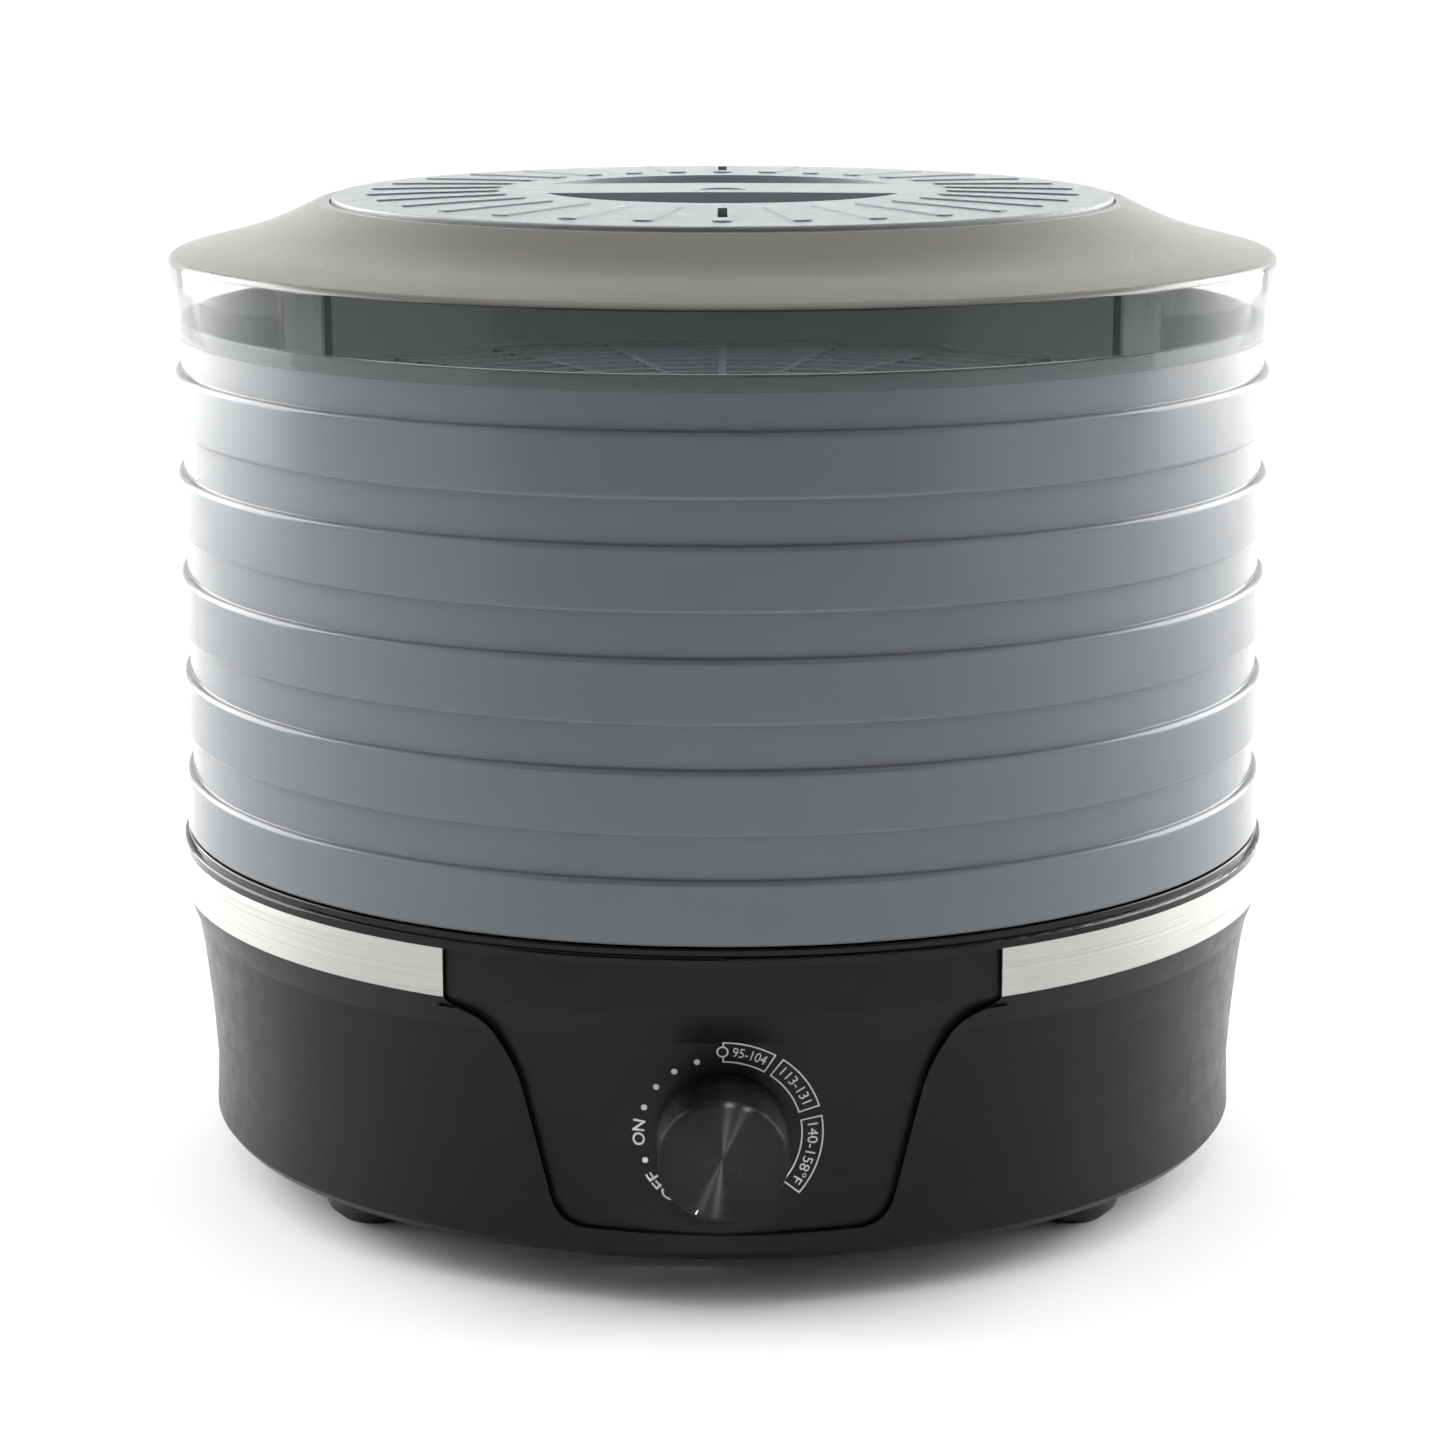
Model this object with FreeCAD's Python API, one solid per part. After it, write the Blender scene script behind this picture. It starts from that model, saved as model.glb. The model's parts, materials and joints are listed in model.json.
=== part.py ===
import FreeCAD, Part
import math
import os

# Food dehydrator: a round powered base, five stacking trays, a lid and a rotary vent dial.
# Millimetres. +Z is up, the origin is at the bottom centre on the table, the front faces -Y.

# Stack
TRAY_COUNT = 5
FIRST_TRAY_Z = 91.5
TRAY_PITCH = 26.65
TRAY_HEIGHT = 29.0
SKIRT_RADIUS = 145.0
SKIRT_HEIGHT = 16.0
NECK_RADIUS = 143.0
WALL = 1.8
NEST_GAP = 0.35
NEST_DEPTH = TRAY_HEIGHT - TRAY_PITCH
FLOOR_THICKNESS = 2.0
NECK_INNER = NECK_RADIUS - WALL
SKIRT_INNER = NECK_RADIUS + NEST_GAP

# Tray mesh floor
HUB_HOLE_RADIUS = 28.0
MESH_RINGS = 10
MESH_SPOKES = 24
SPARSE_RINGS = 3
MESH_INNER = 32.0
MESH_OUTER = 137.0
RING_WIDTH = 2.6
SPOKE_WIDTH = 2.2

# Lid
LID_Z = 223.2
LID_RADIUS = 146.0
LID_INNER = 143.5
SEAT_TOP = 255.0
SEAT_BOTTOM = 253.2
SEAT_WALL_RADIUS = 103.4
RIM_Z = 256.3
TAB_COUNT = 4
TAB_WIDTH_DEG = 6.8
TAB_INNER = 141.3
TAB_TOP = 242.3
SEAT_RIM_OUTER = 106.9
SEAT_UNDER_RADIUS = 109.0
CONE_RADIUS = 121.5
CONE_Z = 249.3
CONE_UNDER_Z = 247.4
SHOULDER_Z = 243.06
SHOULDER_UNDER_Z = 241.8

# Vent dial
DIAL_RADIUS = 103.0
DIAL_BOTTOM = 255.3
DIAL_RIM_Z = 257.5
DIAL_CROWN_Z = 259.1
HUB_RADIUS = 50.0
HUB_BOTTOM = 251.0
HUB_CLEARANCE = 0.4
POCKET_FLOOR_Z = 255.7
POCKET_RADIUS = 48.5
POCKET_SKIN = 1.6
CROSSBAR_HALF_WIDTH = 16.0
DIMPLE_RADIUS = 6.3
DIMPLE_DEPTH = 0.4
RIB_COUNT = 30
RIB_INNER = 59.0
RIB_OUTER = 94.0
RIB_WIDTH = 5.2
RIB_CORNER = 1.6
RIB_HEIGHT = 0.45
WINDOW_WIDTH = 2.4
WINDOW_INNER = 65.0
WINDOW_OUTER = 87.0

# Base housing: outer side profile as (radius, height), from the floor to the band seat
BASE_RADIUS = 146.0
BASE_FLOOR_Z = 6.9
BASE_FLOOR_RADIUS = 109.0
BASE_PROFILE = [
    (139.2, 13.2),
    (138.7, 26.5),
    (139.5, 38.7),
    (140.5, 48.8),
    (141.6, 59.0),
    (143.0, 67.1),
    (146.0, 75.0),
]
BAND_BOTTOM = 75.0
BAND_TOP = 87.1
BAND_THICKNESS = 0.6
SHELL = 2.5
PANEL_HALF_ANGLE = 27.5
PANEL_CUT_FRONT = -160.0
PANEL_CUT_BACK = -60.0

# Deck: stepped rim, then a dish down to the outlet and a sleeve over the duct
DECK_RIM_Z = 89.4
DECK_SEAT_RADIUS = 144.9
DECK_TOP = 91.2
DISH_RADIUS = 62.0
DISH_Z = 84.6
DISH_SKIN = 2.2
SLEEVE_BOTTOM = 76.0
DECK_FLANGE_INNER = 138.0
DECK_FLANGE_OUTER = 140.0
DECK_FLANGE_BOTTOM = 83.5

# Control panel and knob
PANEL_RECESS = 1.2
PANEL_THICKNESS = 2.2
PANEL_GAP = 0.15
LIP_WIDTH = 2.6
LIP_HEIGHT = 0.7
LIP_TOP = 72.5
CONTROL_Y = -138.75
CONTROL_Z = 43.2
CONTROL_TILT = 5.2
KNOB_RADIUS = 16.2
KNOB_BACK = 0.9
KNOB_FACE = 16.5
KNOB_WALL = 2.0
KNOB_HUB_RADIUS = 5.6
CONTROL_SHAFT_RADIUS = 3.0
CONTROL_SHAFT_FLAT = 1.8
CONTROL_FLAT_START = 5.5
RUNNING_GAP = 0.05

# Air path, fan, motor and heater
GRILLE_RADIUS = 58.0
GRILLE_THICKNESS = 1.5
SLOT_COUNT = 18
DUCT_INNER = 48.5
DUCT_OUTER = 49.3
FAN_RADIUS = 44.0
FAN_BLADES = 7
SHAFT_RADIUS = 2.0
ROTOR_RADIUS = 10.7
STATOR_BOTTOM = 26.0
STATOR_TOP = 40.0
MOTOR_SCREW_Y = 16.0
FAN_Z = 58.5
FAN_HUB_RADIUS = 9.0
BLADE_PITCH = 24.0
BLADE_HALF_CHORD = 9.0
BOARD_HALF_LENGTH = 46.0
BOARD_BOTTOM = 68.0
BOARD_TOP = 76.0
HEATER_RADII = [16, 26, 36]
FUSE_X = 51.5
FUSE_Z = 66.0
LEAD_RADIUS = 1.3
THERMOSTAT_RADIUS = 14.0
THERMOSTAT_LENGTH = 20.0
BUSH_RADIUS = 5.1

# Fixings
FOOT_RADIUS = 12.5
FOOT_CIRCLE = 116.5
FOOT_ANGLES = {
    "foot_front_right": -39.4,
    "foot_front_left": -140.6,
    "foot_rear_left": 140.6,
    "foot_rear_right": 39.4,
}
COLUMN_RADIUS = 4.5
COLUMN_TOP = 78.0
COLUMN_CIRCLE = 122.0
COLUMN_ANGLES = [0, 60, 120, 180, 240, 300]
COVER_SCREW_CIRCLE = 57.0
COVER_SCREW_ANGLES = [90, 210, 330]
COVER_RADIUS = 61.0
COVER_BOTTOM = 5.2
SCREW_RADIUS = 1.5
SCREW_PASSAGE = 1.8
SCREW_HEAD = 3.0
CASE_SCREW_SEAT = 12.0
STEM_RADIUS = 3.8
GLAND_RADIUS = 6.0
GLAND_BORE = 3.4
GLAND_Z = 24.0
TERMINAL_Y = 97.0


def vec(x, y, z):
    return FreeCAD.Vector(x, y, z)


def rounded_path(corners, closed=True):
    """Wire through (point, radius) corners, each turned by a tangent arc of that radius."""
    count = len(corners)
    entries = []
    exits = []
    arcs = []
    for index, (point, radius) in enumerate(corners):
        open_end = not closed and index in (0, count - 1)
        if radius == 0 or open_end:
            entries.append(point)
            exits.append(point)
            arcs.append(None)
            continue
        back = (corners[index - 1][0] - point).normalize()
        ahead = (corners[(index + 1) % count][0] - point).normalize()
        half = back.getAngle(ahead) / 2
        entry = point + back * (radius / math.tan(half))
        leave = point + ahead * (radius / math.tan(half))
        bisector = (back + ahead).normalize()
        middle = point + bisector * (radius / math.sin(half) - radius)
        entries.append(entry)
        exits.append(leave)
        arcs.append(Part.Arc(entry, middle, leave).toShape())
    edges = []
    for index in range(count):
        if arcs[index] is not None:
            edges.append(arcs[index])
        if index == count - 1 and not closed:
            break
        start = exits[index]
        end = entries[(index + 1) % count]
        if start.distanceToPoint(end) > 1e-6:
            edges.append(Part.LineSegment(start, end).toShape())
    return Part.Wire(edges)


def revolved(corners):
    """Solid of revolution about Z from (radius, height) or (radius, height, fillet) corners."""
    points = [(vec(corner[0], 0, corner[1]), corner[2] if len(corner) > 2 else 0) for corner in corners]
    return Part.Face(rounded_path(points)).revolve(vec(0, 0, 0), vec(0, 0, 1), 360)


def cylinder(radius, bottom, top, x=0, y=0):
    return Part.makeCylinder(radius, top - bottom, vec(x, y, bottom))


def cylinder_y(radius, front, back, x=0, z=0):
    return Part.makeCylinder(radius, back - front, vec(x, front, z), vec(0, 1, 0))


def ring(inner, outer, bottom, top, x=0, y=0):
    return cylinder(outer, bottom, top, x, y).cut(cylinder(inner, bottom, top, x, y))


def ring_y(inner, outer, front, back, x=0, z=0):
    return cylinder_y(outer, front, back, x, z).cut(cylinder_y(inner, front, back, x, z))


def box(x0, x1, y0, y1, z0, z1):
    return Part.makeBox(x1 - x0, y1 - y0, z1 - z0, vec(x0, y0, z0))


def polar(radius, degrees):
    return radius * math.cos(math.radians(degrees)), radius * math.sin(math.radians(degrees))


def turned(shape, degrees):
    copy = shape.copy()
    copy.rotate(vec(0, 0, 0), vec(0, 0, 1), degrees)
    return copy


def repeated(shape, angles):
    return [turned(shape, angle) for angle in angles]


def sector_wire(inner, outer, start, end, height):
    """Closed outline of an annular sector at one height, angles in degrees."""
    middle = (start + end) / 2
    corners = [vec(*polar(inner, start), height), vec(*polar(outer, start), height)]
    corners += [vec(*polar(outer, end), height), vec(*polar(inner, end), height)]
    edges = [
        Part.LineSegment(corners[0], corners[1]).toShape(),
        Part.Arc(corners[1], vec(*polar(outer, middle), height), corners[2]).toShape(),
        Part.LineSegment(corners[2], corners[3]).toShape(),
        Part.Arc(corners[3], vec(*polar(inner, middle), height), corners[0]).toShape(),
    ]
    return Part.Wire(edges)


def sector(inner, outer, start, end, bottom, top):
    return Part.Face(sector_wire(inner, outer, start, end, bottom)).extrude(vec(0, 0, top - bottom))


def radial_slot(inner, outer, width, bottom, top):
    """Round-ended slot along +X between two radii."""
    half = width / 2
    body = box(inner + half, outer - half, -half, half, bottom, top)
    return body.fuse([cylinder(half, bottom, top, inner + half), cylinder(half, bottom, top, outer - half)])


def export(name, shape):
    """Write one sub-part and report solids that are not sound."""
    if not shape.isValid() or shape.Volume <= 0:
        print("CHECK", name, "valid:", shape.isValid(), "volume:", round(shape.Volume, 1))
    shape.exportStep(f"parts/{name}.step")


# Trays and lid ----------------------------------------------------------------------------------


def tray_wall():
    """One tray's skirt, shoulder and neck."""
    return revolved([
        (SKIRT_RADIUS, 0, 1.2),
        (SKIRT_RADIUS - 0.3, SKIRT_HEIGHT, 1.3),
        (NECK_RADIUS, SKIRT_HEIGHT, 0.3),
        (NECK_RADIUS, TRAY_HEIGHT, 0.5),
        (NECK_INNER, TRAY_HEIGHT, 0.5),
        (NECK_INNER, NEST_DEPTH),
        (SKIRT_INNER, NEST_DEPTH, 0.3),
        (SKIRT_INNER, 0, 0.3),
    ])


def tray_mesh():
    """One tray's flat mesh floor: a rim in the neck, then rings and spokes round an open hub."""
    level = vec(0, 0, NEST_DEPTH)
    outlines = [Part.Wire(Part.makeCircle(radius, level)) for radius in (NECK_INNER, HUB_HOLE_RADIUS)]
    pitch = (MESH_OUTER - MESH_INNER) / MESH_RINGS
    for step in range(MESH_RINGS):
        inner = MESH_INNER + step * pitch
        outer = inner + pitch - RING_WIDTH
        spokes = MESH_SPOKES // 2 if step < SPARSE_RINGS else MESH_SPOKES
        gap = math.degrees(SPOKE_WIDTH / inner) / 2
        for index in range(spokes):
            start = index * 360 / spokes + gap
            end = (index + 1) * 360 / spokes - gap
            outlines.append(sector_wire(inner, outer, start, end, NEST_DEPTH))
    return Part.makeFace(outlines, "Part::FaceMakerBullseye").extrude(vec(0, 0, FLOOR_THICKNESS))


def build_trays():
    """Five identical trays, each a wall and the mesh floor moulded into it."""
    wall = tray_wall()
    mesh = tray_mesh()
    for number in range(TRAY_COUNT):
        lift = vec(0, 0, FIRST_TRAY_Z + number * TRAY_PITCH)
        export(f"tray_{number + 1}", wall.translated(lift))
        export(f"tray_{number + 1}_mesh", mesh.translated(lift))


def rounded_bar(inner, outer, width, corner, bottom, top):
    """Bar along +X between two radii, with rounded corners."""
    half = width / 2
    outline = [(inner, -half), (outer, -half), (outer, half), (inner, half)]
    path = rounded_path([(vec(x, y, bottom), corner) for x, y in outline])
    return Part.Face(path).extrude(vec(0, 0, top - bottom))


def vent_windows(bottom, top):
    """Two narrow openings, at the front and the rear, that line up through dial and lid."""
    front = box(-WINDOW_WIDTH / 2, WINDOW_WIDTH / 2, -WINDOW_OUTER, -WINDOW_INNER, bottom, top)
    return [front, turned(front, 180)]


def build_lid():
    """Clear skirt, frosted cone, flat seat with two vent windows, and four standing tabs."""
    shell = revolved([
        (SEAT_WALL_RADIUS, RIM_Z, 0.3),
        (SEAT_RIM_OUTER, RIM_Z, 0.8),
        (CONE_RADIUS, CONE_Z, 100),
        (LID_RADIUS, SHOULDER_Z, 3.0),
        (LID_RADIUS, LID_Z, 1.6),
        (LID_INNER, LID_Z, 0.4),
        (LID_INNER, SHOULDER_UNDER_Z, 1.0),
        (CONE_RADIUS, CONE_UNDER_Z, 90),
        (SEAT_UNDER_RADIUS, SEAT_BOTTOM, 1.0),
        (HUB_RADIUS + HUB_CLEARANCE, SEAT_BOTTOM),
        (HUB_RADIUS + HUB_CLEARANCE, SEAT_TOP),
        (SEAT_WALL_RADIUS, SEAT_TOP),
    ])
    shell = shell.cut(vent_windows(SEAT_BOTTOM, SEAT_TOP))
    neck_top = FIRST_TRAY_Z + (TRAY_COUNT - 1) * TRAY_PITCH + TRAY_HEIGHT
    half_tab = TAB_WIDTH_DEG / 2
    tab = sector(TAB_INNER, LID_INNER + 0.5, -half_tab, half_tab, neck_top, TAB_TOP)
    tabs = repeated(tab, [(index + 0.5) * 360 / TAB_COUNT for index in range(TAB_COUNT)])
    export("lid_shell", shell.fuse(tabs).removeSplitter())


def dial_blank(rise):
    """Dial body without its pockets: shallow crowned disc over a hub ring, lifted on top by rise."""
    return revolved([
        (0, DIAL_CROWN_Z + rise),
        (HUB_RADIUS, DIAL_CROWN_Z - 0.4 + rise),
        (RIB_OUTER - 15, DIAL_CROWN_Z - 0.95 + rise),
        (DIAL_RADIUS, DIAL_RIM_Z + rise, 0.6),
        (DIAL_RADIUS, DIAL_BOTTOM),
        (HUB_RADIUS, DIAL_BOTTOM),
        (HUB_RADIUS, HUB_BOTTOM),
        (POCKET_RADIUS, HUB_BOTTOM),
        (POCKET_RADIUS, POCKET_FLOOR_Z - POCKET_SKIN),
        (0, POCKET_FLOOR_Z - POCKET_SKIN),
    ])


def build_vent_dial():
    """Ribbed dial with a hub that turns in the lid, two finger pockets and a crossbar grip."""
    above = DIAL_CROWN_Z + 1
    rib = rounded_bar(RIB_INNER, RIB_OUTER, RIB_WIDTH, RIB_CORNER, DIAL_BOTTOM + 1, above)
    rib_angles = [90 + index * 360 / RIB_COUNT for index in range(RIB_COUNT)]
    ribs = Part.makeCompound(repeated(rib, rib_angles)).common(dial_blank(RIB_HEIGHT))
    pocket = cylinder(POCKET_RADIUS, POCKET_FLOOR_Z, above)
    bar = box(-HUB_RADIUS, HUB_RADIUS, -CROSSBAR_HALF_WIDTH, CROSSBAR_HALF_WIDTH, POCKET_FLOOR_Z, above)
    dimple_y = DIMPLE_RADIUS + 1 - CROSSBAR_HALF_WIDTH
    dimple = cylinder(DIMPLE_RADIUS, DIAL_CROWN_Z - DIMPLE_DEPTH, above, 0, dimple_y)
    dial = dial_blank(0).fuse(ribs.Solids)
    cuts = [pocket.cut(bar), dimple] + vent_windows(DIAL_BOTTOM, above)
    export("vent_dial", dial.cut(cuts).removeSplitter())
    export("vent_retainer", ring(HUB_RADIUS, HUB_RADIUS + 4, HUB_BOTTOM + 0.3, SEAT_BOTTOM - 0.3))


# Base housing -----------------------------------------------------------------------------------


def side_shell(outset, depth):
    """Body of revolution that follows the side profile, from outset outwards to depth inwards."""
    profile = BASE_PROFILE + [(BASE_RADIUS, BAND_TOP)]
    outer = [(radius + outset, height) for radius, height in profile]
    inner = [(radius - depth, height) for radius, height in reversed(profile)]
    return revolved(outer + inner)


def panel_prism(grow, front, back):
    """Shield outline of the control panel, grown by a margin and extruded along Y."""
    top_half = BASE_RADIUS * math.sin(math.radians(PANEL_HALF_ANGLE)) + grow
    half = [
        (top_half, BAND_TOP, 0),
        (top_half, 74.0 - grow, 3 + grow),
        (57.0 + grow, 70.0 - grow * 0.4, 14),
        (49.6 + grow, 58.0, 40),
        (40.2 + grow, 18.6 - grow, 9 + grow),
        (0, 17.6 - grow, 0),
    ]
    corners = [(vec(x, front, z), radius) for x, z, radius in half]
    corners += [(vec(-x, front, z), radius) for x, z, radius in reversed(half[:-1])]
    return Part.Face(rounded_path(corners)).extrude(vec(0, back - front, 0))


def build_housing():
    """Bowl with a waisted side, a rounded lower edge, a band seat, a panel opening and screw columns."""
    low_r, low_z = BASE_PROFILE[0]
    edge_width = low_r - BASE_FLOOR_RADIUS
    edge_rise = low_z - BASE_FLOOR_Z
    edge_steps = 5
    edge = []
    for step in range(edge_steps + 1):
        turn = math.pi / 2 * step / edge_steps
        edge.append((BASE_FLOOR_RADIUS + edge_width * math.sin(turn), low_z - edge_rise * math.cos(turn)))
    seat = BASE_RADIUS - BAND_THICKNESS - 0.1
    outer = edge + BASE_PROFILE[1:-1] + [(BASE_RADIUS, BAND_BOTTOM), (seat, BAND_BOTTOM), (seat, BAND_TOP)]
    inner = [(radius - SHELL, height + 0.3) for radius, height in reversed(BASE_PROFILE[1:])]
    inner += [(low_r - SHELL - 2, low_z + 2.2), (BASE_FLOOR_RADIUS, BASE_FLOOR_Z + SHELL)]
    inner += [(DUCT_OUTER + 3, BASE_FLOOR_Z + SHELL)]
    shell = revolved(outer + [(seat - SHELL, BAND_TOP)] + inner + [(DUCT_OUTER + 3, BASE_FLOOR_Z)])
    lip = side_shell(LIP_HEIGHT, SHELL).common(panel_prism(LIP_WIDTH, PANEL_CUT_FRONT, PANEL_CUT_BACK))
    lip = lip.common(box(-BASE_RADIUS, BASE_RADIUS, PANEL_CUT_FRONT, PANEL_CUT_BACK, 0, LIP_TOP))
    columns = []
    for angle in COLUMN_ANGLES:
        x, y = polar(COLUMN_CIRCLE, angle)
        columns.append(cylinder(COLUMN_RADIUS, BASE_FLOOR_Z + 1, COLUMN_TOP, x, y))
    shell = shell.fuse([lip] + columns)
    cuts = [panel_prism(0, PANEL_CUT_FRONT, PANEL_CUT_BACK)]
    cuts.append(cylinder_y(GLAND_RADIUS + 0.1, 120, 160, 0, GLAND_Z))
    for angle in COLUMN_ANGLES:
        x, y = polar(COLUMN_CIRCLE, angle)
        cuts.append(cylinder(SCREW_PASSAGE, BASE_FLOOR_Z, COLUMN_TOP, x, y))
        cuts.append(cylinder(SCREW_HEAD + 0.2, BASE_FLOOR_Z, CASE_SCREW_SEAT, x, y))
    for angle in FOOT_ANGLES.values():
        x, y = polar(FOOT_CIRCLE, angle)
        cuts.append(cylinder(STEM_RADIUS + 0.2, BASE_FLOOR_Z - 1, 16, x, y))
    for angle in COVER_SCREW_ANGLES:
        x, y = polar(COVER_SCREW_CIRCLE, angle)
        cuts.append(cylinder(1.6, BASE_FLOOR_Z - 1, 16, x, y))
    export("base_housing", shell.cut(cuts).removeSplitter())


def build_trim_band():
    half = PANEL_HALF_ANGLE
    band = sector(BASE_RADIUS - BAND_THICKNESS, BASE_RADIUS, half - 90, 270 - half, BAND_BOTTOM, BAND_TOP)
    export("steel_trim_band", band)


def build_deck():
    """Glossy ring and spigot that carry the trays, and the dished plate with the air outlet."""
    deck = revolved([
        (BASE_RADIUS, BAND_TOP),
        (BASE_RADIUS, DECK_RIM_Z, 0.7),
        (DECK_SEAT_RADIUS, DECK_RIM_Z),
        (DECK_SEAT_RADIUS, DECK_TOP, 0.5),
        (NECK_RADIUS, DECK_TOP),
        (NECK_RADIUS, FIRST_TRAY_Z + NEST_DEPTH, 0.4),
        (NECK_INNER, FIRST_TRAY_Z + NEST_DEPTH, 0.4),
        (NECK_INNER - 0.6, DECK_TOP - 1, 0.8),
        (DISH_RADIUS, DISH_Z, 2),
        (DUCT_OUTER + 2.7, DISH_Z),
        (DUCT_OUTER + 2.7, SLEEVE_BOTTOM),
        (DUCT_OUTER + 0.2, SLEEVE_BOTTOM),
        (DUCT_OUTER + 0.2, DISH_Z - DISH_SKIN),
        (DISH_RADIUS, DISH_Z - DISH_SKIN, 2),
        (DECK_FLANGE_INNER, BAND_TOP - 0.1),
        (DECK_FLANGE_INNER, DECK_FLANGE_BOTTOM),
        (DECK_FLANGE_OUTER, DECK_FLANGE_BOTTOM),
        (DECK_FLANGE_OUTER, BAND_TOP),
    ])
    posts = []
    holes = []
    for angle in COLUMN_ANGLES:
        x, y = polar(COLUMN_CIRCLE, angle)
        posts.append(cylinder(COLUMN_RADIUS, COLUMN_TOP + 0.1, 86.5, x, y))
        holes.append(cylinder(SCREW_RADIUS, COLUMN_TOP, 84.5, x, y))
    export("top_deck", deck.fuse(posts).cut(holes).removeSplitter())


def build_case_screws():
    screws = []
    for angle in COLUMN_ANGLES:
        x, y = polar(COLUMN_CIRCLE, angle)
        neck = CASE_SCREW_SEAT - 0.1
        head = cylinder(SCREW_HEAD, neck - 2.3, neck, x, y)
        screws.append(head.fuse(cylinder(SCREW_RADIUS - 0.05, neck, 84, x, y)))
    export("case_screws", Part.makeCompound(screws))


def build_outlet_grille():
    """Flat-flanged grille with radial slots over the air outlet."""
    top = DISH_Z + GRILLE_THICKNESS
    grille = revolved([(0, top), (GRILLE_RADIUS, top, 0.6), (GRILLE_RADIUS, DISH_Z), (0, DISH_Z)])
    slot = radial_slot(14, 45, 5, DISH_Z - 1, top + 1)
    slots = repeated(slot, [index * 360 / SLOT_COUNT for index in range(SLOT_COUNT)])
    export("outlet_grille", grille.cut(slots))


def build_bottom_cover():
    """Screwed-on cover under the fan with the air intake slots."""
    collar_outer = DUCT_OUTER + 2.6
    collar_inner = DUCT_OUTER + 0.3
    top = BASE_FLOOR_Z
    collar = [(collar_outer, top), (collar_outer, 9), (collar_inner, 9), (collar_inner, top)]
    plate = [(0, COVER_BOTTOM), (COVER_RADIUS, COVER_BOTTOM, 0.6), (COVER_RADIUS, top)]
    cover = revolved(plate + collar + [(0, top)])
    slots = repeated(radial_slot(13, 44, 5, 5, 8), [index * 360 / SLOT_COUNT for index in range(SLOT_COUNT)])
    screws = []
    holes = []
    for angle in COVER_SCREW_ANGLES:
        x, y = polar(COVER_SCREW_CIRCLE, angle)
        holes.append(cylinder(SCREW_PASSAGE, 5, 10, x, y))
        head = cylinder(SCREW_HEAD, 3.4, COVER_BOTTOM - 0.1, x, y)
        screws.append(head.fuse(cylinder(SCREW_RADIUS, COVER_BOTTOM - 0.1, 14, x, y)))
    export("bottom_cover", cover.cut(slots + holes))
    export("cover_screws", Part.makeCompound(screws))


def build_feet():
    """Domed rubber feet, each held by a stem through the housing floor."""
    pad_top = BASE_FLOOR_Z - 0.1
    stem = [(STEM_RADIUS, pad_top), (STEM_RADIUS, 11), (0, 11)]
    foot = revolved([(0, 0), (8.5, 0, 1.5), (FOOT_RADIUS, 3.5, 3.5), (FOOT_RADIUS, pad_top, 0.3)] + stem)
    for name, angle in FOOT_ANGLES.items():
        x, y = polar(FOOT_CIRCLE, angle)
        export(name, foot.translated(vec(x, y, 0)))


def build_gland():
    """Bush in the rear wall where the mains lead comes out."""
    barrel = ring_y(GLAND_BORE, GLAND_RADIUS, 130, 139.4, 0, GLAND_Z)
    flange = ring_y(GLAND_BORE, 8.5, 139.4, 141.6, 0, GLAND_Z)
    locknut = ring_y(GLAND_BORE, 7.5, 131.5, 133.5, 0, GLAND_Z)
    export("cord_gland", barrel.fuse([flange, locknut]))


# Control panel, thermostat and knob ---------------------------------------------------------------


def placed_control(shape):
    """Carry a shape from the control axis frame, +Z outwards from the panel face, to the front."""
    copy = shape.copy()
    copy.rotate(vec(0, 0, 0), vec(1, 0, 0), 90 + CONTROL_TILT)
    copy.translate(vec(0, CONTROL_Y, CONTROL_Z))
    return copy


def build_panel():
    """Shield-shaped plate that follows the body a little below its surface."""
    curved = side_shell(-PANEL_RECESS, PANEL_RECESS + PANEL_THICKNESS)
    plate = curved.common(panel_prism(-PANEL_GAP, PANEL_CUT_FRONT, PANEL_CUT_BACK))
    plate = plate.common(box(-BASE_RADIUS, BASE_RADIUS, PANEL_CUT_FRONT, PANEL_CUT_BACK, 0, BAND_TOP - 0.2))
    export("control_panel", plate.cut(placed_control(cylinder(BUSH_RADIUS + 0.2, -10, 10))))


def build_thermostat():
    """Thermostat can with a threaded bush through the panel, its nut, and the shaft it turns by."""
    can_front = -PANEL_THICKNESS - 0.9
    can_back = can_front - THERMOSTAT_LENGTH
    bore = cylinder(CONTROL_SHAFT_RADIUS + RUNNING_GAP, can_back + 2, 10)
    can = cylinder(THERMOSTAT_RADIUS, can_back, can_front)
    bush = cylinder(BUSH_RADIUS, can_front, 4.0)
    tags = [box(side - 2.5, side + 2.5, -4, 4, can_back - 8, can_back) for side in (-7, 7)]
    export("thermostat_body", placed_control(can.fuse([bush] + tags).cut(bore)))
    hexagon = [polar(7.5, 60 * index) for index in range(7)]
    outline = Part.makePolygon([vec(x, y, 0.3) for x, y in hexagon])
    nut = Part.Face(outline).extrude(vec(0, 0, 2.2)).cut(cylinder(BUSH_RADIUS + 0.05, 0, 3))
    export("thermostat_nut", placed_control(nut))
    flat = box(CONTROL_SHAFT_FLAT, 5, -5, 5, CONTROL_FLAT_START, 20)
    shaft = cylinder(CONTROL_SHAFT_RADIUS, can_back + 2.3, KNOB_FACE - 3.0)
    export("thermostat_shaft", placed_control(shaft.cut(flat)))


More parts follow.
